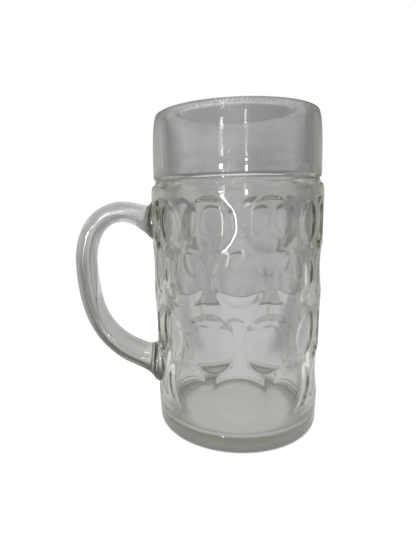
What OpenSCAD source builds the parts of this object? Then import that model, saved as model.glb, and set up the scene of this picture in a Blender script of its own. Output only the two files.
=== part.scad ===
// Dimpled glass beer mug: a pressed glass body and a glass handle joined to its side.
// The mug's axis is Z, its foot stands on z = 0, and the handle points along -X.

/* [Mug] */
// Height from the foot to the rim
mug_h = 200; // [185:1:215]
// Radius of the body at its widest, below the shoulder
body_r = 55; // [50:0.1:60]
// Depth of the plain collar, from the rim down to the crease under it
collar_h = 40; // [34:0.5:46]

/* [Base band] */
// Height of the base band, up to the crease where the body starts
band_h = 10.8; // [9:0.1:13]
// How far the base band stands inside the foot of the body
band_set = 0.4; // [0.1:0.1:1.2]
// How deep the crease above the band is cut in
band_crease = 0.7; // [0.3:0.1:1.5]
// Width of the rounding between foot and band
heel_w = 3.2; // [1.5:0.1:6]
// Height of that rounding
heel_h = 4.5; // [2:0.1:7]

/* [Body] */
// How much smaller the body's radius is just above the base band
taper = 1; // [0.2:0.1:1.6]
// Height of the rounded shoulder
shoulder_h = 6; // [4:0.1:8]
// How far the narrow ring between shoulder and collar stands inside the body
ring_set = 2; // [1.2:0.1:2.8]
// Height of that ring
ring_h = 2.6; // [1.5:0.1:4]

/* [Collar] */
// How far the crease between ring and collar is inside the body
crease_set = 3; // [2.9:0.1:4.2]
// How far the collar stands inside the body where it is widest
collar_set = 1.7; // [0.8:0.1:2.4]
// How far the rounded rim is drawn in from the collar
rim_draw = 3.9; // [3:0.1:4.6]
// Height of the rounding on the outside of the rim
rim_round = 7; // [4:0.1:9]

/* [Inside] */
// Thickness of the collar's wall where it is widest
collar_wall = 5.9; // [5:0.1:7]
// Thickness of the body's wall just above the floor
body_wall = 6.8; // [5.8:0.1:8.6]
// Thickness of the glass floor
floor_t = 8; // [6:0.1:13]
// Radius of the corner between floor and wall
floor_round = 5; // [3:0.5:14]

/* [Dimples] */
// Dimples in each row round the body
dimple_count = 10; // [8:1:10]
// Height of a dimple in the two upper rows
upper_dimple_h = 29.6; // [22:0.1:30]
// Width of a dimple in the two upper rows
upper_dimple_w = 28.6; // [20:0.1:30]
// Height of a dimple in the two lower rows
lower_dimple_h = 33.6; // [24:0.1:34]
// Width of a dimple in the two lower rows
lower_dimple_w = 29.4; // [20:0.1:30]

/* [Handle] */
// Distance from the body's side to the middle of the handle's outer run
handle_reach = 47; // [40:0.5:56]
// Distance from the ring down to the middle of the upper joint
handle_drop = 22.9; // [17:0.1:30]
// Height of the middle of the lower joint above the foot
handle_low_z = 37.5; // [32:0.5:46]
// Thickness of the handle's outer run, seen from the side
handle_t = 14; // [11:0.1:17]
// Width of the handle's outer run, seen from behind
handle_w = 20.5; // [15:0.1:26]

/* [Hidden] */
$fn = 96;
overrun = 0.4;
curve_steps = 5;
body_steps = 4;

crease_z = mug_h - collar_h;
ring_z = crease_z - ring_h;
shoulder_z = ring_z - shoulder_h;
body_z = band_h + band_crease * 2;
handle_top_z = ring_z - handle_drop;

low_r = body_r - taper;
band_r = low_r - band_set;
foot_r = band_r - heel_w;
ring_r = body_r - ring_set;
crease_r = body_r - crease_set;
collar_r = body_r - collar_set;
rim_r = collar_r - rim_draw;
mouth_r = collar_r - collar_wall;
well_r = low_r - body_wall;

// Where the collar and the body are widest, as shares of their heights
collar_wide_share = 0.06;
belly_share = 0.8;

// Heights of the four rows of dimples, as shares of the height from band to ring
row_shares = [0.84, 0.635, 0.39, 0.175];

// The handle from its upper joint to its lower one. Each line has shares of: the reach from
// the body to the outer run, the height between the joints, its thickness, and its width
handle_shares = [
    [-0.18, 1.018, 1.9, 1.35], [-0.11, 1.018, 2.02, 1.42], [-0.055, 1.018, 2.09, 1.46],
    [-0.01, 1.018, 2.03, 1.45], [0.026, 1.019, 1.74, 1.32], [0.064, 1.0218, 1.45, 1.2],
    [0.12, 1.029, 1.2, 1.08], [0.22, 1.048, 1.02, 1], [0.43, 1.07, 0.961, 0.94],
    [0.642, 1.049, 0.948, 0.93], [0.794, 0.998, 0.97, 0.94], [0.906, 0.922, 0.973, 0.96],
    [0.983, 0.796, 0.975, 0.98], [0.993, 0.656, 0.986, 1], [0.968, 0.525, 1.01, 1],
    [0.915, 0.398, 1.02, 1], [0.817, 0.284, 1.065, 1], [0.669, 0.185, 1.12, 1],
    [0.482, 0.107, 1.19, 0.99], [0.331, 0.067, 1.235, 1], [0.21, 0.041, 1.245, 1.03],
    [0.13, 0.028, 1.34, 1.1], [0.072, 0.0215, 1.54, 1.18], [0.026, 0.018, 1.88, 1.3],
    [-0.01, 0.0164, 2.25, 1.45], [-0.055, 0.0155, 2.34, 1.46], [-0.11, 0.0153, 2.2, 1.42],
    [-0.18, 0.0153, 2, 1.35]
];
handle_side_steps = 20;
handle_run_steps = 3;

// Points of a quadratic curve from a to c that is drawn towards b, without a itself
function bend(a, b, c) = [
    for (i = [1:curve_steps])
        let (t = i / curve_steps)
        (1 - t) * (1 - t) * a + 2 * t * (1 - t) * b + t * t * c
];

// Radius of the body's outside, which swells smoothly from the base band to the belly
function side_r(z) =
    let (share = min((z - body_z) / (shoulder_z - body_z) / belly_share, 1))
    low_r + taper * (1 - cos(180 * share)) / 2;

// The outside of the glass, from the foot up to the crease under the collar
function body_outline() =
    let (
        band_top = [band_r, band_h - band_crease],
        band_in = [band_r - band_crease, band_h],
        body_in = [low_r - band_crease, band_h + band_crease / 2]
    )
    concat(
        [[0, 0], [foot_r, 0]],
        bend([foot_r, 0], [band_r, 0], [band_r, heel_h]),
        [band_top],
        bend(band_top, [band_r, band_h], band_in),
        [body_in],
        bend(body_in, [low_r, band_h + band_crease], [low_r, body_z]),
        [for (i = [1:body_steps])
            let (z = body_z + (shoulder_z - body_z) * i / body_steps)
            [side_r(z), z]],
        bend([body_r, shoulder_z], [body_r, ring_z], [ring_r, ring_z])
    );

// The collar's outside, from the crease up to the top of the rim
function collar_outline() =
    let (
        widest = [collar_r, crease_z + collar_h * collar_wide_share],
        edge = [(collar_r + rim_r) / 2, mug_h - rim_round / 3]
    )
    concat(
        [[crease_r, crease_z]],
        bend([crease_r, crease_z], [collar_r, (crease_z + widest[1]) / 2], widest),
        bend(widest, [collar_r, mug_h - rim_round], edge),
        bend(edge, [rim_r + rim_round / 4, mug_h], [rim_r, mug_h])
    );

// The inside, from the rim down to the middle of the floor
function inside_outline() =
    let (
        lip = rim_r - mouth_r,
        wall_foot = [well_r, floor_t + floor_round]
    )
    concat(
        bend([rim_r, mug_h], [mouth_r, mug_h], [mouth_r, mug_h - lip]),
        [wall_foot],
        bend(wall_foot, [well_r, floor_t], [well_r - floor_round, floor_t]),
        [[0, floor_t]]
    );

// Glass between two radii, without dimples; solid when it is asked to be full
module blank(full = false) {
    outside = concat(body_outline(), collar_outline());
    rotate_extrude()
        polygon(full ? concat(outside, [[0, mug_h]]) : concat(outside, inside_outline()));
}

// What one dimple takes out of the +X side at height zero: hollow up and down, flat across
module dimple_cutter(surface_r, w, h) {
    depth = surface_r - sqrt(surface_r * surface_r - w * w / 4);
    round_r = (h * h / 4 + depth * depth) / (2 * depth);
    rotate([90, 0, 0])
        linear_extrude(w + 2 * overrun, center = true)
            intersection() {
                translate([surface_r - depth + round_r, 0])
                    circle(r = round_r);
                translate([surface_r - depth - overrun, -h])
                    square([depth + 2 * overrun, 2 * h]);
            }
}

// Staggered rows of dimples, those within the given turn from the handle. The one dimple
// under the upper handle joint is left out
module dimples(reach = 180) {
    for (row = [0:len(row_shares) - 1]) {
        z = band_h + (ring_z - band_h) * row_shares[row];
        upper = row < len(row_shares) / 2;
        pitch = 360 / dimple_count;
        first = row == 0 ? pitch : (row % 2) * pitch / 2;
        for (turn = [first:pitch:359])
            if (min(turn, 360 - turn) < reach + pitch / 4)
                rotate([0, 0, 180 + turn])
                    translate([0, 0, z])
                        dimple_cutter(side_r(z), upper ? upper_dimple_w : lower_dimple_w,
                                      upper ? upper_dimple_h : lower_dimple_h);
    }
}

// Value of a smooth curve through the handle's table at step s of its length
function handle_share(s) =
    let (
        table = handle_shares,
        last = len(table) - 1,
        i = max(0, min(floor(s), last - 1)),
        t = s - i,
        a = table[max(i - 1, 0)],
        b = table[i],
        c = table[i + 1],
        d = table[min(i + 2, last)]
    )
    b + t / 2 * (c - a) + t * t / 2 * (2 * a - 5 * b + 4 * c - d) + t * t * t / 2 * (3 * b - 3 * c + d - a);

// Middle of the handle in its own plane: distance from the mug's axis, and height
function handle_point(s) =
    let (share = handle_share(s))
    [body_r + handle_reach * share[0],
     handle_low_z + (handle_top_z - handle_low_z) * share[1]];

// One ring of points round the handle
function handle_ring(s) =
    let (
        small = 0.01,
        p = handle_point(s),
        step = handle_point(s + small) - handle_point(s - small),
        n = [step[1], -step[0]] / norm(step),
        share = handle_share(s),
        t = handle_t * share[2] / 2,
        w = handle_w * share[3] / 2
    )
    [for (k = [0:handle_side_steps - 1])
        let (
            angle = 360 * k / handle_side_steps,
            q = p + n * t * cos(angle)
        )
        [-q[0], w * sin(angle), q[1]]];

// The handle's rod, with both ends reaching into the body's wall
module handle_rod() {
    spans = len(handle_shares) - 1;
    rings = spans * handle_run_steps;
    sides = handle_side_steps;
    points = [
        for (i = [0:rings])
            each handle_ring(i / handle_run_steps)
    ];
    skin = [
        for (i = [0:rings - 1], k = [0:sides - 1])
            let (
                a = i * sides + k,
                b = i * sides + (k + 1) % sides
            )
            each [[a, b, b + sides], [a, b + sides, a + sides]]
    ];
    first_cap = [for (k = [sides - 1:-1:0]) k];
    last_cap = [for (k = [0:sides - 1]) rings * sides + k];
    polyhedron(points, concat(skin, [first_cap, last_cap]));
}

module mug_body() {
    color([0.72, 0.78, 0.72, 0.6])
        difference() {
            blank();
            dimples();
        }
}

module handle() {
    color([0.62, 0.7, 0.62, 0.6])
        difference() {
            handle_rod();
            difference() {
                blank(full = true);
                dimples(reach = 180 / dimple_count);
            }
        }
}

mug_body();
handle();
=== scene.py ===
import math

import bpy
import numpy as np
from mathutils import Matrix, Vector


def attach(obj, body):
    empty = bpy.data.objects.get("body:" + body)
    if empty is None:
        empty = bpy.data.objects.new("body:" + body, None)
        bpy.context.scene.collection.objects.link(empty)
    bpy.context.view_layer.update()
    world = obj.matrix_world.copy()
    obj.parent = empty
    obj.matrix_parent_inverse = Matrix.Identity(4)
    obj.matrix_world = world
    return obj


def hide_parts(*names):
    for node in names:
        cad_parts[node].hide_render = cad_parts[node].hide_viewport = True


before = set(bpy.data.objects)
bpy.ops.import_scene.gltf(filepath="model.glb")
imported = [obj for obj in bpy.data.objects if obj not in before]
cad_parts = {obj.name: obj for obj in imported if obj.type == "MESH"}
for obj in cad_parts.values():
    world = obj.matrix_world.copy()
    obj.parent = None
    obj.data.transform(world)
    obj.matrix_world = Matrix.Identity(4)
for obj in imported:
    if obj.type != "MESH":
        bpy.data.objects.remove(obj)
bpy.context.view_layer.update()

MM = 0.001

# Sizes of the glass in millimetres, the same as the frame's. Height is Z, the handle is on -X
MUG_H = 200.0
BODY_R = 55.0
COLLAR_H = 40.0
BAND_H = 10.8
BAND_SET = 0.4
BAND_CREASE = 0.7
HEEL_W = 3.2
HEEL_H = 4.5
TAPER = 1.0
SHOULDER_H = 6.0
RING_SET = 2.0
RING_H = 2.6
CREASE_SET = 3.0
COLLAR_SET = 1.7
RIM_DRAW = 3.9
RIM_ROUND = 7.0
COLLAR_WALL = 5.9
BODY_WALL = 6.8
FLOOR_T = 8.0
FLOOR_ROUND = 5.0
COLLAR_WIDE_SHARE = 0.06
BELLY_SHARE = 0.8

# The underside is hollowed a little inside the ring that the mug stands on
UNDERSIDE_HOLLOW = 0.8
FOOT_RING_W = 3.0
HOLLOW_EDGE_W = 6.0
HOLLOW_EDGE_PULL = 1.0

# Heights worked out from the sizes
CREASE_Z = MUG_H - COLLAR_H
RING_Z = CREASE_Z - RING_H
SHOULDER_Z = RING_Z - SHOULDER_H
BODY_Z = BAND_H + 2 * BAND_CREASE
BELLY_Z = BODY_Z + (SHOULDER_Z - BODY_Z) * BELLY_SHARE
WIDEST_Z = CREASE_Z + COLLAR_H * COLLAR_WIDE_SHARE

# Radii worked out from the sizes
LOW_R = BODY_R - TAPER
BAND_R = LOW_R - BAND_SET
FOOT_R = BAND_R - HEEL_W
RING_R = BODY_R - RING_SET
CREASE_R = BODY_R - CREASE_SET
COLLAR_R = BODY_R - COLLAR_SET
RIM_R = COLLAR_R - RIM_DRAW
MOUTH_R = COLLAR_R - COLLAR_WALL
WELL_R = LOW_R - BODY_WALL

# Rows of dimples from the top, each with its sizes in the order of ROW_SIZES
DIMPLES_ROUND = 10
ROW_SIZES = ("middle", "width", "height", "depth")
DIMPLE_ROWS = (
    (134.4, 31.4, 30.8, 1.2),
    (104.9, 31.2, 32.4, 1.2),
    (67.7, 32.6, 34.0, 1.0),
    (36.9, 32.4, 33.6, 1.1),
)
DIMPLE_SOFTNESS = 0.14
DIMPLE_FLATNESS = 2.3
DIMPLE_TURN = math.radians(-1)

# Steps of the body's mesh, and how near its points are when they become one
STEPS_ROUND = 360
SIDE_STEPS = 146
MERGE_DISTANCE = 0.004

HANDLE_REACH = 47.0
HANDLE_DROP = 22.9
HANDLE_TOP_Z = RING_Z - HANDLE_DROP
HANDLE_LOW_Z = 37.5
HANDLE_RISE = HANDLE_TOP_Z - HANDLE_LOW_Z
HANDLE_T = 14.0
HANDLE_W = 20.5

# The handle from its upper joint to its lower one. Each line has shares of: the reach from
# the body to the outer run, the height between the joints, its thickness, and its width
HANDLE_SHARES = (
    (-0.18, 1.018, 1.9, 1.35), (-0.11, 1.018, 2.02, 1.42), (-0.055, 1.018, 2.09, 1.46),
    (-0.01, 1.018, 2.03, 1.45), (0.026, 1.019, 1.74, 1.32), (0.064, 1.0218, 1.45, 1.2),
    (0.12, 1.029, 1.2, 1.08), (0.22, 1.048, 1.02, 1), (0.43, 1.07, 0.961, 0.94),
    (0.642, 1.049, 0.948, 0.93), (0.794, 0.998, 0.97, 0.94), (0.906, 0.922, 0.973, 0.96),
    (0.983, 0.796, 0.975, 0.98), (0.993, 0.656, 0.986, 1), (0.968, 0.525, 1.01, 1),
    (0.915, 0.398, 1.02, 1), (0.817, 0.284, 1.065, 1), (0.669, 0.185, 1.12, 1),
    (0.482, 0.107, 1.19, 0.99), (0.331, 0.067, 1.235, 1), (0.21, 0.041, 1.245, 1.03),
    (0.13, 0.028, 1.34, 1.1), (0.072, 0.0215, 1.54, 1.18), (0.026, 0.018, 1.88, 1.3),
    (-0.01, 0.0164, 2.25, 1.45), (-0.055, 0.0155, 2.34, 1.46), (-0.11, 0.0153, 2.2, 1.42),
    (-0.18, 0.0153, 2, 1.35),
)

# Steps of the handle's mesh: round it, along it, and from the edge to the middle of its ends
HANDLE_SIDES = 48
HANDLE_RINGS = 420
CAP_STEPS = 7

# Gap between body and handle, and how finely the place where the handle stops is searched
JOINT_GAP = 0.08
SEARCH_STEPS = 400
SEARCH_HALVINGS = 24

# From here on, lengths are in metres, as the materials read them. Each joint between handle
# and body is an oval, given by the height of its middle and half its height
JOINTS = ((0.13625, 0.0139), (0.0391, 0.0155))
JOINT_HALF_W = 0.0146

# The share of the oval that is fused, and what keeps it to the body's outside at the handle
JOINT_FUSED = 0.9
JOINT_LEAST_X = 0.04
JOINT_LEAST_R = 0.051

# How strongly the glass bends light, and how rough it is where it is clean
GLASS_IOR = 1.52
POLISH = 0.015

# Middle of the handle's loop, from the mug's axis and from the foot, and the loop's radius
LOOP_OUT = 0.066
LOOP_UP = 0.092
LOOP_R = 0.045

# Light and shade painted on the handle: a painted lighter top, painted light on its inner side, a
# painted dark olive shade strip on its outer side and a painted dark shade line at its joints
TOP_PAINTED_LIGHT = (0.66, 0.66, 0.665, 1)
INNER_PAINTED_LIGHT = (0.97, 0.97, 0.965, 1)
STRIP_PAINTED_SHADE = (0.1, 0.104, 0.078, 1)
JOINT_PAINTED_SHADE = (0.13, 0.15, 0.1, 1)

# The table ends behind the mug, and lies a hair below the foot so that the faces stay apart
TABLE_REACH = 3.0
TABLE_EDGE_Y = 0.324
TABLE_EDGE_W = 0.016
TABLE_DROP = 0.0002

# Levels of the setting that the glass shows, where white is 1, and what darkens the table
TABLE_LEVEL = 1.32
TABLE_BAY_SHADE = 1.15
TABLE_HEEL_SHADE = 0.5
TABLE_FAR_SHADE = 0.12
TABLE_SIDE_SHADE = 0.42
TABLE_EDGE_SHADE = 0.7
TABLE_DARK_BAY = 0.62
ROOM_DARK_BAY = 0.55
HORIZON_LEVEL = 0.46

# Bright bays round the mug: their number, soft edge and turn, and how uneven the dark ones are
BAYS = 4
BAY_EDGE = (0.1, 0.62)
BAY_TURN = math.radians(3)
BAY_LEAN = 0.12

# The table's own colour, what whitens it for the camera, and how strongly the room lights it
TABLE_WHITE = (0.8, 0.8, 0.8, 1)
TABLE_GLOW = 0.55
ROOM_LIGHT = 0.8

# Soft lamps: azimuth and elevation in degrees, distance, width, height and power
LAMPS = (
    ("Left window", -21.7, 5.8, 1.5, 0.1, 0.06, 0.6),
    ("Left window, upper", -21.7, 15, 1.5, 0.12, 0.3, 0.28),
    ("Left window, lower", -19.6, -0.5, 0.8, 0.042, 0.14, 2.6),
    ("Right window", 9.5, 4.2, 1.5, 0.08, 0.08, 0.6),
    ("Right window, upper", 9.5, 8.3, 1.5, 0.06, 0.03, 0.2),
    ("Ceiling light", -15, 58, 1.2, 0.6, 0.05, 2.2),
)
LAMP_AIM = Vector((0, 0, 0.1))

# Light that runs along inside the wall is reflected many times before it comes out
LIGHT_BOUNCES = 28

# The photograph's frame, and the camera that took it, in pixels, metres and radians
PHOTO_W, PHOTO_H = 416, 555
FOCAL_PX = 403.08
CENTRE_PX = (193.53, 269.87)
SENSOR_H = 36
CAMERA_DISTANCE = 0.26958
CAMERA_UP = 0.14766
CAMERA_ROUND = math.radians(3)
CAMERA_YAW = -0.1069 + CAMERA_ROUND
CAMERA_PITCH = 0.17
CAMERA_ROLL = -0.0202
CAMERA_CLIP = 0.01


class Nodes:
    """Adds nodes to one tree, with each input given as a value or as another node's output."""

    def __init__(self, tree):
        self.tree = tree

    def feed(self, socket, value):
        if isinstance(value, bpy.types.NodeSocket):
            self.tree.links.new(value, socket)
        else:
            socket.default_value = value

    def add(self, kind, inputs=None, **settings):
        node = self.tree.nodes.new(kind)
        for name, value in settings.items():
            setattr(node, name, value)
        for name, value in (inputs or {}).items():
            self.feed(node.inputs[name], value)
        return node

    def calc(self, operation, *values):
        node = self.tree.nodes.new("ShaderNodeMath")
        node.operation = operation
        for place, value in enumerate(values):
            self.feed(node.inputs[place], value)
        return node.outputs[0]

    def plus(self, first, *others):
        for value in others:
            first = self.calc("ADD", first, value)
        return first

    def times(self, first, *others):
        for value in others:
            first = self.calc("MULTIPLY", first, value)
        return first

    def minus(self, a, b):
        return self.calc("SUBTRACT", a, b)

    def over(self, a, b):
        return self.calc("DIVIDE", a, b)

    def squares(self, x, y):
        return self.plus(self.times(x, x), self.times(y, y))

    def length(self, x, y):
        return self.calc("SQRT", self.squares(x, y))

    def split(self, vector):
        return self.add("ShaderNodeSeparateXYZ", {"Vector": vector}).outputs

    def join(self, x, y, z):
        return self.add("ShaderNodeCombineXYZ", {"X": x, "Y": y, "Z": z}).outputs[0]

    def noise(self, vector, scale, detail, roughness):
        return self.add("ShaderNodeTexNoise", {
            "Vector": vector, "Scale": scale, "Detail": detail, "Roughness": roughness,
        }).outputs[0]

    def ramp(self, value, span, low, high):
        """A smooth step from the low value to the high one while the value crosses the span."""
        return self.add("ShaderNodeMapRange", {
            "Value": value, "From Min": span[0], "From Max": span[1],
            "To Min": low, "To Max": high,
        }, interpolation_type="SMOOTHSTEP").outputs[0]

    def rising(self, value, span, top=1.0):
        return self.ramp(value, span, 0.0, top)

    def falling(self, value, span, top=1.0):
        return self.ramp(value, span, top, 0.0)

    def between(self, value, first, second, top=1.0):
        """The given top between two spans, and 0 before the first and after the second."""
        return self.times(self.rising(value, first, top), self.falling(value, second))

    def tinted(self, share, below, above):
        """One colour laid over another by a share, on the sockets that a mix has for colours."""
        mix = self.add("ShaderNodeMix", data_type="RGBA")
        self.feed(mix.inputs[0], share)
        self.feed(mix.inputs[6], below)
        self.feed(mix.inputs[7], above)
        return mix.outputs[2]

    def two_shaders(self, kind, first, second, inputs=None):
        """Node that mixes or adds two shaders, which are the last two of its sockets."""
        node = self.add(kind, inputs)
        for socket, shader in zip(list(node.inputs)[-2:], (first, second)):
            self.feed(socket, shader.outputs[0])
        return node


def empty_tree(owner):
    """The emptied node tree of a material or a world."""
    owner.use_nodes = True
    owner.node_tree.nodes.clear()
    return Nodes(owner.node_tree)


def new_object(name, data):
    made = bpy.data.objects.new(name, data)
    bpy.context.scene.collection.objects.link(made)
    return made


def settle(piece):
    """Turns what the piece's modifiers make into its plain mesh."""
    graph = bpy.context.evaluated_depsgraph_get()
    graph.update()
    shape = bpy.data.meshes.new_from_object(
        piece.evaluated_get(graph), preserve_all_data_layers=True, depsgraph=graph
    )
    piece.modifiers.clear()
    piece.data = shape
    return piece


def aim_camera():
    """Puts the camera where the photograph was taken from, with its focus and framing."""
    yaw, pitch, roll = CAMERA_YAW, CAMERA_PITCH, CAMERA_ROLL
    place = Vector((
        -CAMERA_DISTANCE * math.sin(CAMERA_ROUND),
        -CAMERA_DISTANCE * math.cos(CAMERA_ROUND),
        CAMERA_UP,
    ))
    ahead = Vector((
        math.sin(yaw) * math.cos(pitch), math.cos(yaw) * math.cos(pitch), -math.sin(pitch)
    ))
    level = Vector((math.cos(yaw), -math.sin(yaw), 0))
    upright = level.cross(ahead)
    right = math.cos(roll) * level + math.sin(roll) * upright
    up = math.cos(roll) * upright - math.sin(roll) * level
    camera = bpy.data.cameras.new("Camera")
    camera.sensor_fit = "VERTICAL"
    camera.sensor_height = SENSOR_H
    camera.lens = FOCAL_PX * SENSOR_H / PHOTO_H
    camera.shift_x = (PHOTO_W / 2 - CENTRE_PX[0]) / PHOTO_H
    camera.shift_y = (CENTRE_PX[1] - PHOTO_H / 2) / PHOTO_H
    camera.clip_start = CAMERA_CLIP
    holder = new_object("Camera", camera)
    turn = Matrix((right, up, -ahead)).transposed().to_4x4()
    holder.matrix_world = Matrix.Translation(place) @ turn
    bpy.context.scene.camera = holder


def side_r(z):
    """Radius of the body's outside between the base band and the shoulder, without dimples."""
    share = np.clip((z - BODY_Z) / (SHOULDER_Z - BODY_Z) / BELLY_SHARE, 0, 1)
    return LOW_R + TAPER * (1 - np.cos(math.pi * share)) / 2


def body_outline():
    """(radius, height) all round the glass, and the first and last point that has dimples."""
    hollow_r = FOOT_R - FOOT_RING_W
    band_top = (BAND_R, BAND_H - BAND_CREASE)
    band_in = (BAND_R - BAND_CREASE, BAND_H)
    body_in = (LOW_R - BAND_CREASE, BAND_H + BAND_CREASE / 2)
    widest = (COLLAR_R, WIDEST_Z)
    edge = ((COLLAR_R + RIM_R) / 2, MUG_H - RIM_ROUND / 3)
    wall_foot = (WELL_R, FLOOR_T + FLOOR_ROUND)
    points = [(0, UNDERSIDE_HOLLOW)]

    def line(end, steps):
        a = points[-1]
        for i in range(1, steps + 1):
            points.append(tuple(a[k] + (end[k] - a[k]) * i / steps for k in (0, 1)))

    def bend(pull, end, steps):
        """A quadratic curve to the end that is drawn towards the pull."""
        a = points[-1]
        for i in range(1, steps + 1):
            t = i / steps
            points.append(tuple(
                (1 - t) ** 2 * a[k] + 2 * t * (1 - t) * pull[k] + t * t * end[k] for k in (0, 1)
            ))

    line((hollow_r - HOLLOW_EDGE_W, UNDERSIDE_HOLLOW), steps=2)
    bend((hollow_r - HOLLOW_EDGE_PULL, UNDERSIDE_HOLLOW), (hollow_r, 0), steps=4)
    line((FOOT_R, 0), steps=2)
    bend((BAND_R, 0), (BAND_R, HEEL_H), steps=10)
    line(band_top, steps=3)
    bend((BAND_R, BAND_H), band_in, steps=6)
    points.append(body_in)
    bend((LOW_R, BAND_H + BAND_CREASE), (LOW_R, BODY_Z), steps=6)
    first_side = len(points)
    for i in range(1, SIDE_STEPS + 1):
        z = BODY_Z + (SHOULDER_Z - BODY_Z) * i / SIDE_STEPS
        points.append((float(side_r(z)), z))
    last_side = len(points) - 1
    bend((BODY_R, RING_Z), (RING_R, RING_Z), steps=10)
    line((CREASE_R, CREASE_Z), steps=2)
    bend((COLLAR_R, (CREASE_Z + WIDEST_Z) / 2), widest, steps=10)
    bend((COLLAR_R, MUG_H - RIM_ROUND), edge, steps=10)
    bend((RIM_R + RIM_ROUND / 4, MUG_H), (RIM_R, MUG_H), steps=8)
    bend((MOUTH_R, MUG_H), (MOUTH_R, MUG_H - (RIM_R - MOUTH_R)), steps=8)
    line(wall_foot, steps=6)
    bend((WELL_R, FLOOR_T), (WELL_R - FLOOR_ROUND, FLOOR_T), steps=12)
    line((0, FLOOR_T), steps=4)
    return points, first_side, last_side


def row_input(row, size):
    return f"Row {row + 1} {size}"


def body_tree():
    """Node tree that turns the outline round the axis and presses the rows of dimples in."""
    tree = bpy.data.node_groups.new("Pressed glass body", "GeometryNodeTree")
    face = tree.interface
    face.new_socket("Body", in_out="OUTPUT", socket_type="NodeSocketGeometry")

    def take(kind, *names):
        for name in names:
            face.new_socket(name, in_out="INPUT", socket_type="NodeSocket" + kind)

    take("Geometry", "Outline")
    take("Int", "Steps round", "Dimples round")
    take("Float", "Body radius", "Dimple softness", "Dimple flatness", "Dimple turn")
    for row in range(len(DIMPLE_ROWS)):
        take("Float", *(row_input(row, size) for size in ROW_SIZES))
    take("Float", "Merge distance")
    take("Material", "Glass")

    n = Nodes(tree)
    start = n.add("NodeGroupInput").outputs
    domain = n.add("GeometryNodeAttributeDomainSize", {"Geometry": start["Outline"]})
    count = domain.outputs["Point Count"]
    grid = n.add("GeometryNodeMeshGrid", {
        "Vertices X": n.plus(start["Steps round"], 1), "Vertices Y": count,
    })
    index = n.add("GeometryNodeInputIndex").outputs[0]
    along = n.calc("MODULO", index, count)
    column = n.calc("FLOOR", n.over(n.plus(index, 0.5), count))
    turn = n.times(n.over(column, start["Steps round"]), 2 * math.pi)
    place = n.add("GeometryNodeSampleIndex", {
        "Geometry": start["Outline"],
        "Value": n.add("GeometryNodeInputPosition").outputs[0],
        "Index": along,
    }, data_type="FLOAT_VECTOR")
    named = n.add("GeometryNodeInputNamedAttribute", {"Name": "outside"}, data_type="FLOAT")
    outside = n.add("GeometryNodeSampleIndex", {
        "Geometry": start["Outline"],
        "Value": named.outputs["Attribute"],
        "Index": along,
    }, data_type="FLOAT")
    radius, _, height = n.split(place.outputs[0])

    pitch = n.over(2 * math.pi, start["Dimples round"])
    half_pitch = n.times(pitch, 0.5)
    minus_half = n.times(pitch, -0.5)
    from_handle = n.plus(start["Dimple turn"], math.pi)
    depth = 0.0
    for row in range(len(DIMPLE_ROWS)):
        middle, width, tall, deep = (start[row_input(row, size)] for size in ROW_SIZES)
        first = n.plus(n.times(half_pitch, row % 2), from_handle)
        across = n.calc("WRAP", n.minus(turn, first), half_pitch, minus_half)
        sideways = n.over(n.times(across, start["Body radius"]), n.times(width, 0.5))
        upwards = n.over(n.minus(height, middle), n.times(tall, 0.5))
        fall = n.calc("POWER", n.squares(sideways, upwards), start["Dimple flatness"])
        bowl = n.calc("SMOOTH_MAX", n.minus(1, fall), 0, start["Dimple softness"])
        if row == 0:
            away = n.calc("ABSOLUTE", n.minus(turn, math.pi))
            bowl = n.times(bowl, n.calc("GREATER_THAN", away, half_pitch))
        depth = n.plus(n.times(bowl, deep), depth)

    pressed = n.minus(radius, n.times(depth, outside.outputs[0]))
    spot = n.join(
        n.times(pressed, n.calc("COSINE", turn)), n.times(pressed, n.calc("SINE", turn)), height
    )
    moved = n.add("GeometryNodeSetPosition", {
        "Geometry": grid.outputs["Mesh"], "Position": spot,
    })
    closed = n.add("GeometryNodeMergeByDistance", {
        "Geometry": moved.outputs[0], "Distance": start["Merge distance"],
    })
    smooth = n.add("GeometryNodeSetShadeSmooth", {"Geometry": closed.outputs[0]})
    real = n.add("GeometryNodeRealizeInstances", {"Geometry": smooth.outputs[0]})
    done = n.add("GeometryNodeSetMaterial", {
        "Geometry": real.outputs[0], "Material": start["Glass"],
    })
    n.add("NodeGroupOutput", {"Body": done.outputs[0]})
    return tree


def make_body(glass):
    """The pressed body: its outline, marked where dimples may go, put through the tree."""
    outline, first_side, last_side = body_outline()
    mesh = bpy.data.meshes.new("outline")
    mesh.from_pydata([(r * MM, 0, z * MM) for r, z in outline], [], [])
    outside = [float(first_side <= i <= last_side) for i in range(len(outline))]
    mesh.attributes.new("outside", "FLOAT", "POINT").data.foreach_set("value", outside)
    body = new_object("glass_body", mesh)
    modifier = body.modifiers.new("Pressed glass", "NODES")
    modifier.node_group = body_tree()
    values = {
        "Steps round": STEPS_ROUND,
        "Dimples round": DIMPLES_ROUND,
        "Body radius": BODY_R * MM,
        "Dimple softness": DIMPLE_SOFTNESS,
        "Dimple flatness": DIMPLE_FLATNESS,
        "Dimple turn": DIMPLE_TURN,
        "Merge distance": MERGE_DISTANCE * MM,
        "Glass": glass,
    }
    for row, sizes in enumerate(DIMPLE_ROWS):
        for name, size in zip(ROW_SIZES, sizes):
            values[row_input(row, name)] = size * MM
    for item in modifier.node_group.interface.items_tree:
        if item.in_out == "INPUT" and item.name in values:
            modifier[item.identifier] = values[item.name]
    return settle(body)


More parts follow.
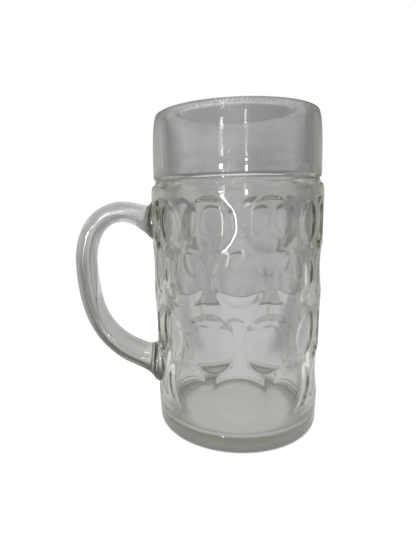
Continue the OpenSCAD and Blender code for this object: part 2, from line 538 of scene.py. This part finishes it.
def dimple_depth(turn, z):
    """How deep the dimples are, in mm, at a turn round the axis and a height. It gives what
    the body's node tree makes, so that the handle's ends follow the dimples."""
    pitch = 2 * math.pi / DIMPLES_ROUND
    total = np.zeros(np.broadcast(turn, z).shape)
    for row, (middle, width, tall, deep) in enumerate(DIMPLE_ROWS):
        first = math.pi + DIMPLE_TURN + (row % 2) * pitch / 2
        across = (turn - first + pitch / 2) % pitch - pitch / 2
        edge = (across * BODY_R / (width / 2)) ** 2 + ((z - middle) / (tall / 2)) ** 2
        bowl = 1 - edge ** DIMPLE_FLATNESS
        near = np.maximum(DIMPLE_SOFTNESS - np.abs(bowl), 0) / DIMPLE_SOFTNESS
        bowl = np.maximum(bowl, 0) + near ** 3 * DIMPLE_SOFTNESS / 6
        if row == 0:
            from_handle = np.abs((turn % (2 * math.pi)) - math.pi)
            bowl = bowl * (from_handle > pitch / 2)
        total = total + deep * bowl
    return total


def stop_r(turn, z):
    """Radius at which the handle stops, a small gap in front of the body's side."""
    return side_r(z) - dimple_depth(turn, z) + JOINT_GAP


def smooth_line(table):
    """Function giving a smooth curve through the rows of a table, and its slope."""
    rows = np.array(table, float)
    n = len(rows)
    weights = np.zeros((n, n))
    pull = np.zeros_like(rows)
    weights[0, 0] = weights[-1, -1] = 1
    for i in range(1, n - 1):
        weights[i, i - 1:i + 2] = (1, 4, 1)
        pull[i] = 6 * (rows[i + 1] - 2 * rows[i] + rows[i - 1])
    curve = np.linalg.solve(weights, pull)

    def at(step):
        step = np.asarray(step, float)
        i = np.clip(np.floor(step).astype(int), 0, n - 2)
        t = (step - i)[..., None]
        a, b = rows[i], rows[i + 1]
        ka, kb = curve[i], curve[i + 1]
        value = (1 - t) * a + t * b + ((1 - t) ** 3 - (1 - t)) * ka / 6 + (t ** 3 - t) * kb / 6
        slope = b - a + (1 - 3 * (1 - t) ** 2) * ka / 6 + (3 * t ** 2 - 1) * kb / 6
        return value, slope

    return at


def handle_skin(at, step, side):
    """Points on the handle's rod, in mm, at a step of its length and an angle round it."""
    share, slope = at(step)
    x = BODY_R + HANDLE_REACH * share[..., 0]
    z = HANDLE_LOW_Z + HANDLE_RISE * share[..., 1]
    dx = HANDLE_REACH * slope[..., 0]
    dz = HANDLE_RISE * slope[..., 1]
    run = np.hypot(dx, dz)
    thick = HANDLE_T * share[..., 2] / 2 * np.cos(side)
    wide = HANDLE_W * share[..., 3] / 2 * np.sin(side)
    return np.stack((-(x + dz / run * thick), wide, z - dx / run * thick), axis=-1)


def free_of_body(points):
    """Whether each point is still in front of where the handle stops."""
    x, y, z = points[..., 0], points[..., 1], points[..., 2]
    return np.hypot(x, y) > stop_r(np.arctan2(y, x), z)


def handle_ends(at, side):
    """For both ends, the step of the handle's length at which each of its sides stops."""
    last = len(HANDLE_SHARES) - 1
    ends = []
    for end in (0, last):
        walk = np.linspace(last / 2, end, SEARCH_STEPS)
        free = free_of_body(handle_skin(at, walk[:, None], side))
        first = np.argmin(free, axis=0)
        outside, inside = walk[first - 1], walk[first]
        for _ in range(SEARCH_HALVINGS):
            half = (outside + inside) / 2
            free = free_of_body(handle_skin(at, half, side))
            outside = np.where(free, half, outside)
            inside = np.where(free, inside, half)
        ends.append(outside)
    return ends


def close_end(points, faces, first):
    """Closes the end ring that starts at the given point with a skin that follows the body."""
    x, y, z = np.array(points[first:first + HANDLE_SIDES]).T
    turn = np.arctan2(y, -x)
    outer = range(first, first + HANDLE_SIDES)
    for j in range(1, CAP_STEPS + 1):
        in_middle = j == CAP_STEPS
        share = 1 - j / CAP_STEPS
        t = turn.mean() + (turn - turn.mean()) * share
        h = z.mean() + (z - z.mean()) * share
        if in_middle:
            t, h = t[:1], h[:1]
        r = stop_r(math.pi - t, h)
        start = len(points)
        points += [tuple(p) for p in np.stack((-r * np.cos(t), r * np.sin(t), h), -1)]
        inner = [start + k % len(t) for k in range(HANDLE_SIDES)]
        for k in range(HANDLE_SIDES):
            m = (k + 1) % HANDLE_SIDES
            corners = (outer[k], outer[m], inner[m], inner[k])
            if in_middle:
                corners = corners[:3]
            faces.append(corners[::-1] if first else corners)
        outer = inner


def make_handle(glass):
    """The handle: a smooth rod through its table. A mark says which faces close its ends."""
    at = smooth_line(HANDLE_SHARES)
    side = np.arange(HANDLE_SIDES) * 2 * math.pi / HANDLE_SIDES
    upper, lower = handle_ends(at, side)
    shares = np.linspace(0, 1, HANDLE_RINGS + 1)[:, None]
    rings = handle_skin(at, upper * (1 - shares) + lower * shares, side)
    points = [tuple(p) for p in rings.reshape(-1, 3)]
    faces = []
    for i in range(HANDLE_RINGS):
        for k in range(HANDLE_SIDES):
            a = i * HANDLE_SIDES + k
            b = i * HANDLE_SIDES + (k + 1) % HANDLE_SIDES
            faces.append((a, a + HANDLE_SIDES, b + HANDLE_SIDES, b))
    rod_faces = len(faces)
    end_rings = (0, HANDLE_RINGS * HANDLE_SIDES)
    for first in end_rings:
        close_end(points, faces, first)
    mesh = bpy.data.meshes.new("handle")
    mesh.from_pydata([(x * MM, y * MM, z * MM) for x, y, z in points], [], faces)
    mesh.validate()
    mesh.polygons.foreach_set("use_smooth", [True] * len(mesh.polygons))
    for edge in mesh.edges:
        for first in end_rings:
            if all(first <= v < first + HANDLE_SIDES for v in edge.vertices):
                edge.use_edge_sharp = True
    caps = [float(i >= rod_faces) for i in range(len(mesh.polygons))]
    mesh.attributes.new("cap", "FLOAT", "FACE").data.foreach_set("value", caps)
    mesh.materials.append(glass)
    return new_object("glass_handle", mesh)


def glass_material(name, skin, colour, depth_colour, density, waviness):
    """Clear glass that darkens where it is thick. The skin gives its bumps, roughness and tint, which
    on the handle holds painted light and shade, and where it is fused to the other piece, which makes
    the skin see-through there."""
    material = bpy.data.materials.new(name)
    n = empty_tree(material)
    place = n.add("ShaderNodeTexCoord").outputs["Object"]
    height, roughness, tint, fused = skin(n, place, (*colour, 1))
    bump = n.add("ShaderNodeBump", {"Height": height, "Strength": 1.0, "Distance": waviness})
    shade = n.add("ShaderNodeBsdfPrincipled", {
        "Base Color": tint,
        "Roughness": roughness,
        "IOR": GLASS_IOR,
        "Transmission Weight": 1.0,
        "Normal": bump.outputs[0],
    })
    clear = n.add("ShaderNodeBsdfTransparent")
    surface = n.two_shaders("ShaderNodeMixShader", shade, clear, {"Fac": fused})
    depth = n.add("ShaderNodeVolumeAbsorption", {
        "Color": (*depth_colour, 1), "Density": density,
    })
    n.add("ShaderNodeOutputMaterial", {
        "Surface": surface.outputs[0], "Volume": depth.outputs[0],
    })
    return material


def pressed_skin(n, place, colour):
    """Faintly uneven glass, worn to a soft frost on the rim and under the foot, and a little
    dull in the corner between floor and wall."""
    rim_start, foot_top, corner_top = (0.1925, 0.1985), (0.0009, 0.0013), (0.018, 0.024)
    corner_start, corner_end = (0.036, 0.041), (0.048, 0.0485)
    rim_frost, foot_frost, corner_frost = 0.3, 0.45, 0.18
    fine_share = 0.05

    east, north, up = n.split(place)
    from_axis = n.length(east, north)
    slow = n.noise(place, scale=45, detail=2.0, roughness=0.45)
    fine = n.noise(place, scale=400, detail=3.0, roughness=0.55)
    specks = n.ramp(
        n.noise(place, scale=700, detail=3.0, roughness=0.6), (0.45, 0.6), low=0.4, high=1.0
    )
    rim = n.times(n.rising(up, rim_start), specks, rim_frost)
    foot = n.falling(up, foot_top, foot_frost)
    corner = n.times(
        n.between(from_axis, corner_start, corner_end), n.falling(up, corner_top, corner_frost)
    )

    nearest = 1.0
    for middle, tall in JOINTS:
        upwards = n.over(n.minus(up, middle), tall)
        sideways = n.over(north, JOINT_HALF_W)
        nearest = n.calc("MINIMUM", n.squares(upwards, sideways), nearest)
    fused = n.times(
        n.calc("LESS_THAN", nearest, JOINT_FUSED),
        n.calc("LESS_THAN", east, -JOINT_LEAST_X),
        n.calc("GREATER_THAN", from_axis, JOINT_LEAST_R),
    )
    height = n.plus(slow, n.times(fine, fine_share))
    roughness = n.plus(rim, corner, foot, POLISH)
    return height, roughness, colour, fused


def painted_joint_shade(n, east, north, up):
    """How strongly painted shade darkens the handle's skin close to the body: a dark line round each
    joint, which is widest above and below the joint's middle."""
    line_edge, line_spread, line_strength = (0.0008, 0.0016), 0.0024, 0.9
    cap_reach = 0.00005
    side = n.ramp(
        up, (BODY_Z * MM, BELLY_Z * MM), (LOW_R + JOINT_GAP) * MM, (BODY_R + JOINT_GAP) * MM
    )
    from_body = n.minus(n.length(east, north), side)
    spread = 1.0
    for middle, tall in JOINTS:
        share = n.over(n.minus(up, middle), tall)
        spread = n.calc("MINIMUM", n.times(share, share), spread)
    beyond = n.minus(from_body, n.times(spread, line_spread))
    off_cap = n.calc("GREATER_THAN", from_body, cap_reach)
    return n.times(n.falling(beyond, line_edge, line_strength), off_cap)


def drawn_skin(n, place, colour):
    """Streaks along the handle, ripples and a painted dark olive shade strip on its outer side,
    painted light on its inner side and a painted lighter top.
    The strip and the inner side are on front faces only, where the normal is the surface's own."""
    # Angles round the loop's middle, in radians, where 0 is away from the body and 1.57 is up
    top_run, low_run, strip_end = (0.7, 1.3), (-1.1, -0.5), (0.35, 0.85)
    upright_start, upright_end = (-0.4, -0.1), (0.8, 1.2)

    # How squarely the surface faces away from the loop's middle, from -1 on its inner side to 1
    strip_inner, strip_outer, inner_edge = (-0.75, -0.3), (0.1, 0.6), (-0.8, -0.68)
    strip_shift = 0.6

    streak_stretch, ripple_squeeze, ripple_share = 0.08, 0.25, 0.9
    east, north, up = n.split(place)
    out = n.minus(-LOOP_OUT, east)
    rise = n.minus(up, LOOP_UP)
    angle = n.calc("ARCTAN2", rise, out)
    along = n.times(angle, LOOP_R)
    away = n.length(out, rise)
    top = n.rising(angle, top_run)

    surface = n.add("ShaderNodeNewGeometry").outputs
    face_east, _, face_up = n.split(surface["Normal"])
    front = n.minus(1, surface["Backfacing"])
    outward = n.over(n.minus(n.times(face_up, rise), n.times(face_east, out)), away)
    lowered = n.minus(outward, n.falling(angle, low_run, strip_shift))
    strip = n.times(
        n.between(lowered, strip_inner, strip_outer), front, n.falling(angle, strip_end)
    )
    upright = n.between(angle, upright_start, upright_end)
    inner = n.times(n.falling(outward, inner_edge), upright, front)

    lengthwise = n.join(n.times(along, streak_stretch), north, away)
    streaks = n.noise(lengthwise, scale=600, detail=3.0, roughness=0.6)
    crosswise = n.join(along, n.times(north, ripple_squeeze), n.times(away, ripple_squeeze))
    ripples = n.noise(crosswise, scale=1900, detail=2.0, roughness=0.5)
    height = n.plus(
        n.times(streaks, n.ramp(top, (0, 1), low=0.5, high=4.0)),
        n.times(ripples, strip, ripple_share),
    )
    # Painted shade: a mottled dark olive strip on the handle's outer side
    olive_painted_shade = n.times(strip, n.ramp(ripples, (0.35, 0.6), low=0.72, high=1.0))

    # Painted light: the handle's top is made lighter
    tint = n.tinted(top, colour, TOP_PAINTED_LIGHT)
    # Painted light: the handle's inner side is made pale
    tint = n.tinted(inner, tint, INNER_PAINTED_LIGHT)
    # Painted shade: the dark olive strip is laid over the tint
    tint = n.tinted(olive_painted_shade, tint, STRIP_PAINTED_SHADE)
    # Painted shade: a dark line on the skin close to each joint
    tint = n.tinted(painted_joint_shade(n, east, north, up), tint, JOINT_PAINTED_SHADE)
    fused = n.add("ShaderNodeAttribute", attribute_name="cap").outputs["Fac"]
    return height, POLISH, tint, fused


def ray_kinds(n):
    """1 for a ray from the camera, and 1 for one that comes through glass or off it."""
    path = n.add("ShaderNodeLightPath").outputs
    return path["Is Camera Ray"], n.calc("MAXIMUM", path["Is Glossy Ray"], path["Is Transmission Ray"])


def bays(n, x, y, dark):
    """1 in the bright bays round the mug, one of them behind it, and near the given value
    between them."""
    turn = n.minus(n.calc("ARCTAN2", x, y), BAY_TURN)
    bay = n.rising(n.calc("COSINE", n.times(turn, BAYS)), BAY_EDGE)
    lean = n.times(n.calc("SINE", n.times(turn, BAYS / 2)), BAY_LEAN)
    return n.plus(bay, n.times(n.minus(1, bay), n.minus(dark, lean)))


def make_table():
    """White table that reaches a little way behind the mug and far to the front and sides.
    Glass shows it darker between the bays, under the heel, beside the mug and at its edge."""
    # Distances from the axis, and the share of them that is sideways
    bays_start, floor_edge = (0.07, 0.16), (0.034, 0.05)
    heel_start, heel_end = (0.034, 0.042), (0.054, 0.064)
    beside_start, beside_end, sideways = (0.056, 0.066), (0.1, 0.16), (0.7, 0.95)
    mesh = bpy.data.meshes.new("table")
    mesh.from_pydata([
        (-TABLE_REACH, -TABLE_REACH, -TABLE_DROP), (TABLE_REACH, -TABLE_REACH, -TABLE_DROP),
        (TABLE_REACH, TABLE_EDGE_Y, -TABLE_DROP), (-TABLE_REACH, TABLE_EDGE_Y, -TABLE_DROP),
    ], [], [(0, 1, 2, 3)])
    material = bpy.data.materials.new("White table")
    n = empty_tree(material)
    camera, in_glass = ray_kinds(n)
    east, back, _ = n.split(n.add("ShaderNodeTexCoord").outputs["Object"])
    away = n.length(east, back)
    side_share = n.over(n.calc("ABSOLUTE", east), away)
    dark_bays = n.minus(1, bays(n, east, back, TABLE_DARK_BAY))
    far_edge = n.calc("GREATER_THAN", back, TABLE_EDGE_Y - TABLE_EDGE_W)
    shade = n.plus(
        n.times(n.rising(away, bays_start, TABLE_BAY_SHADE), dark_bays),
        n.between(away, heel_start, heel_end, TABLE_HEEL_SHADE),
        n.rising(away, floor_edge, TABLE_FAR_SHADE),
        n.times(n.rising(side_share, sideways, TABLE_SIDE_SHADE),
                n.between(away, beside_start, beside_end)),
        n.times(far_edge, TABLE_EDGE_SHADE),
    )
    white = n.add("ShaderNodeBsdfDiffuse", {"Color": TABLE_WHITE})
    glow = n.add("ShaderNodeEmission", {"Strength": n.times(camera, TABLE_GLOW)})
    through = n.add("ShaderNodeEmission", {"Strength": n.minus(TABLE_LEVEL, shade)})
    lit = n.two_shaders("ShaderNodeAddShader", white, glow)
    pick = n.two_shaders("ShaderNodeMixShader", lit, through, {"Fac": in_glass})
    n.add("ShaderNodeOutputMaterial", {"Surface": pick.outputs[0]})
    mesh.materials.append(material)
    new_object("table", mesh)


def make_surroundings():
    """White for the camera and plain for what is lit. Glass shows bays, a darker strip above
    the horizon and a darker overhead, with faint soft patches."""
    # The way's upward part, from -1 to 1
    strip_bottom, strip_top, overhead_start = (0.066, 0.088), (0.3, 0.33), (0.4, 0.9)
    patch_stretch = 0.35
    world = bpy.data.worlds.new("Surroundings")
    bpy.context.scene.world = world
    n = empty_tree(world)
    east, north, up = n.split(n.add("ShaderNodeTexCoord").outputs["Generated"])
    around = bays(n, east, north, ROOM_DARK_BAY)
    strip = n.between(up, strip_bottom, strip_top)
    overhead = n.ramp(up, overhead_start, low=1.0, high=0.7)
    tall = n.join(east, north, n.times(up, patch_stretch))
    patches = n.noise(tall, scale=5.0, detail=1.0, roughness=0.5)
    uneven = n.ramp(patches, (0.35, 0.62), low=0.78, high=1.04)
    level = n.plus(around, n.times(strip, n.minus(HORIZON_LEVEL, around)))
    camera, in_glass = ray_kinds(n)
    shown = n.calc("MAXIMUM", camera, n.times(in_glass, level, overhead, uneven))
    lighting = n.minus(1, n.calc("MAXIMUM", camera, in_glass))
    sky = n.add("ShaderNodeBackground", {
        "Color": (1, 1, 1, 1), "Strength": n.plus(shown, n.times(lighting, ROOM_LIGHT)),
    })
    n.add("ShaderNodeOutputWorld", {"Surface": sky.outputs[0]})


def make_lamp(name, azimuth, elevation, distance, wide, tall, power):
    """Soft lamp that faces the mug. Azimuth 0 is in front of it, 90 on its right."""
    lamp = bpy.data.lights.new(name, "AREA")
    lamp.shape = "RECTANGLE"
    lamp.size = wide
    lamp.size_y = tall
    lamp.energy = power
    holder = new_object(name, lamp)
    a, e = math.radians(azimuth), math.radians(elevation)
    holder.location = LAMP_AIM + distance * Vector((
        math.sin(a) * math.cos(e), -math.cos(a) * math.cos(e), math.sin(e)
    ))
    holder.rotation_euler = (LAMP_AIM - holder.location).to_track_quat("-Z", "Y").to_euler()


aim_camera()
bpy.context.scene.view_settings.view_transform = "Standard"
cycles = bpy.context.scene.cycles
cycles.max_bounces = LIGHT_BOUNCES
cycles.transmission_bounces = LIGHT_BOUNCES
cycles.glossy_bounces = LIGHT_BOUNCES
make_table()
make_surroundings()
for lamp_values in LAMPS:
    make_lamp(*lamp_values)

body_glass = glass_material(
    "Body glass", pressed_skin, colour=(0.675, 0.675, 0.685),
    depth_colour=(0.69, 0.732, 0.555), density=25, waviness=0.00012,
)
handle_glass = glass_material(
    "Handle glass", drawn_skin, colour=(0.54, 0.54, 0.535),
    depth_colour=(0.7, 0.72, 0.66), density=22, waviness=0.00016,
)

body = make_body(body_glass)
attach(body, "root")
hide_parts("mug_body")

handle = make_handle(handle_glass)
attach(handle, "root")
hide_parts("handle")
